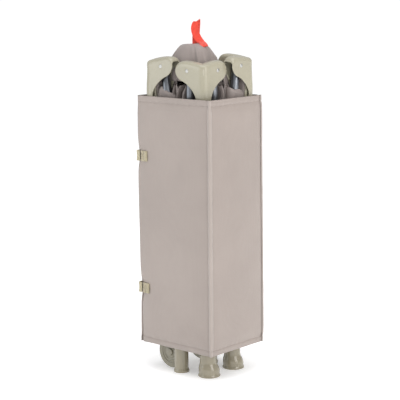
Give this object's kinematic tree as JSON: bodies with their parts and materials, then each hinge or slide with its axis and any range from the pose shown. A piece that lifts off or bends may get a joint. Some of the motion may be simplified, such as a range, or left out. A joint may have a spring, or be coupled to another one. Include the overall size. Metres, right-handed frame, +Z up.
{
  "type": "folding playpen",
  "caption": "Folding playpen (travel cot), folded upright on its feet and wrapped in its padded floor mat, with strap closures, wheels and a pull strap.",
  "frame": {"origin": "centre of the folded bundle in plan, on the floor that its feet stand on", "axes": "+Z up; -Y is the outward side of the mat panel that opens like a door; +X to the right of someone who faces that panel"},
  "size_m": [0.2284, 0.1864, 0.8525],
  "materials": {
    "moulded_plastic": "satin moulded plastic, warm grey",
    "foot_plastic": "glossy moulded plastic, warm grey",
    "steel_tube": "bright drawn steel tube",
    "rivet_steel": "bright steel",
    "mat_nylon": "coated satin nylon, taupe",
    "lining_nylon": "light nylon, taupe",
    "webbing": "beige ribbed webbing",
    "red_webbing": "orange-red ribbed webbing",
    "wheel_rubber": "dark hard rubber",
    "lock_plastic": "dark grey moulded plastic",
    "button_plastic": "red moulded plastic"
  },
  "bodies": {
    "frame": {"bracket_front_left": "moulded_plastic", "rail_rivet_front_left_a": "rivet_steel", "rail_rivet_front_left_b": "rivet_steel", "post_tube_front_left": "steel_tube", "foot_front_left": "foot_plastic", "base_spoke_front_left": "steel_tube", "bracket_front_right": "moulded_plastic", "rail_rivet_front_right_a": "rivet_steel", "rail_rivet_front_right_b": "rivet_steel", "post_tube_front_right": "steel_tube", "foot_front_right": "foot_plastic", "base_spoke_front_right": "steel_tube", "bracket_back_right": "moulded_plastic", "rail_rivet_back_right_a": "rivet_steel", "rail_rivet_back_right_b": "rivet_steel", "post_tube_back_right": "steel_tube", "foot_back_right": "foot_plastic", "base_spoke_back_right": "steel_tube", "bracket_back_left": "moulded_plastic", "rail_rivet_back_left_a": "rivet_steel", "rail_rivet_back_left_b": "rivet_steel", "post_tube_back_left": "steel_tube", "foot_back_left": "foot_plastic", "base_spoke_back_left": "steel_tube", "wheel_axle_front_left": "foot_plastic", "wheel_axle_back_left": "foot_plastic", "base_hub": "moulded_plastic", "half_rail_front_a": "steel_tube", "half_rail_front_b": "steel_tube", "centre_lock_front": "lock_plastic", "half_rail_right_a": "steel_tube", "half_rail_right_b": "steel_tube", "centre_lock_right": "lock_plastic", "half_rail_back_a": "steel_tube", "half_rail_back_b": "steel_tube", "centre_lock_back": "lock_plastic", "half_rail_left_a": "steel_tube", "half_rail_left_b": "steel_tube", "centre_lock_left": "lock_plastic", "floor_cloth": "lining_nylon", "side_cloth_front": "lining_nylon", "side_cloth_right": "lining_nylon", "side_cloth_back": "lining_nylon", "side_cloth_left": "lining_nylon", "pull_strap_tail": "red_webbing"},
    "mat_wrap": {"mat_panel_right": "mat_nylon", "mat_panel_back": "mat_nylon", "mat_panel_left": "mat_nylon"},
    "mat_door": {"mat_panel_front": "mat_nylon", "strap_patch_upper": "webbing", "strap_patch_lower": "webbing"},
    "strap_upper": {"closing_strap_upper": "webbing"},
    "strap_lower": {"closing_strap_lower": "webbing"},
    "wheel_front": {"wheel_front_left": "wheel_rubber"},
    "wheel_back": {"wheel_back_left": "wheel_rubber"},
    "pull_loop": {"pull_strap_loop": "red_webbing"},
    "button_front": {"lock_button_front": "button_plastic"},
    "button_right": {"lock_button_right": "button_plastic"},
    "button_back": {"lock_button_back": "button_plastic"},
    "button_left": {"lock_button_left": "button_plastic"}
  },
  "joints": [
    {"name": "mat_lift", "type": "slide", "parent": "frame", "child": "mat_wrap", "axis": [0, 0, 1], "range_m": [0, 0.71]},
    {"name": "mat_door_swing", "type": "hinge", "parent": "mat_wrap", "child": "mat_door", "pos_m": [0.11425, -0.09075, 0.367], "axis": [0, 0, 1], "range_deg": [0, 90]},
    {"name": "strap_peel_upper", "type": "hinge", "parent": "mat_door", "child": "strap_upper", "pos_m": [-0.10075, -0.09225, 0.524], "axis": [0, 0, 1], "range_deg": [0, 120]},
    {"name": "strap_peel_lower", "type": "hinge", "parent": "mat_door", "child": "strap_lower", "pos_m": [-0.10075, -0.09225, 0.203], "axis": [0, 0, 1], "range_deg": [0, 120]},
    {"name": "wheel_spin_front", "type": "hinge", "parent": "frame", "child": "wheel_front", "pos_m": [-0.04975, -0.04875, 0.044], "axis": [0, 1, 0], "continuous": true},
    {"name": "wheel_spin_back", "type": "hinge", "parent": "frame", "child": "wheel_back", "pos_m": [-0.04675, 0.05325, 0.044], "axis": [0, 1, 0], "continuous": true},
    {"name": "pull_loop_flop", "type": "hinge", "parent": "frame", "child": "pull_loop", "pos_m": [-0.01075, -0.00275, 0.789], "axis": [0, 1, 0], "range_deg": [-40, 60], "stiffness_Nm_per_rad": 0.01},
    {"name": "button_press_front", "type": "slide", "parent": "frame", "child": "button_front", "axis": [0.0002, -0.0382, 0.9993], "range_m": [0, 0.003], "stiffness_N_per_m": 300, "springref_m": -0.001},
    {"name": "button_press_right", "type": "slide", "parent": "frame", "child": "button_right", "axis": [0.0418, -0.01, 0.9991], "range_m": [0, 0.003], "stiffness_N_per_m": 300, "springref_m": -0.001},
    {"name": "button_press_back", "type": "slide", "parent": "frame", "child": "button_back", "axis": [0, 0.0209, 0.9998], "range_m": [0, 0.003], "stiffness_N_per_m": 300, "springref_m": -0.001},
    {"name": "button_press_left", "type": "slide", "parent": "frame", "child": "button_left", "axis": [-0.1036, 0.0001, 0.9946], "range_m": [0, 0.003], "stiffness_N_per_m": 300, "springref_m": -0.001}
  ]
}
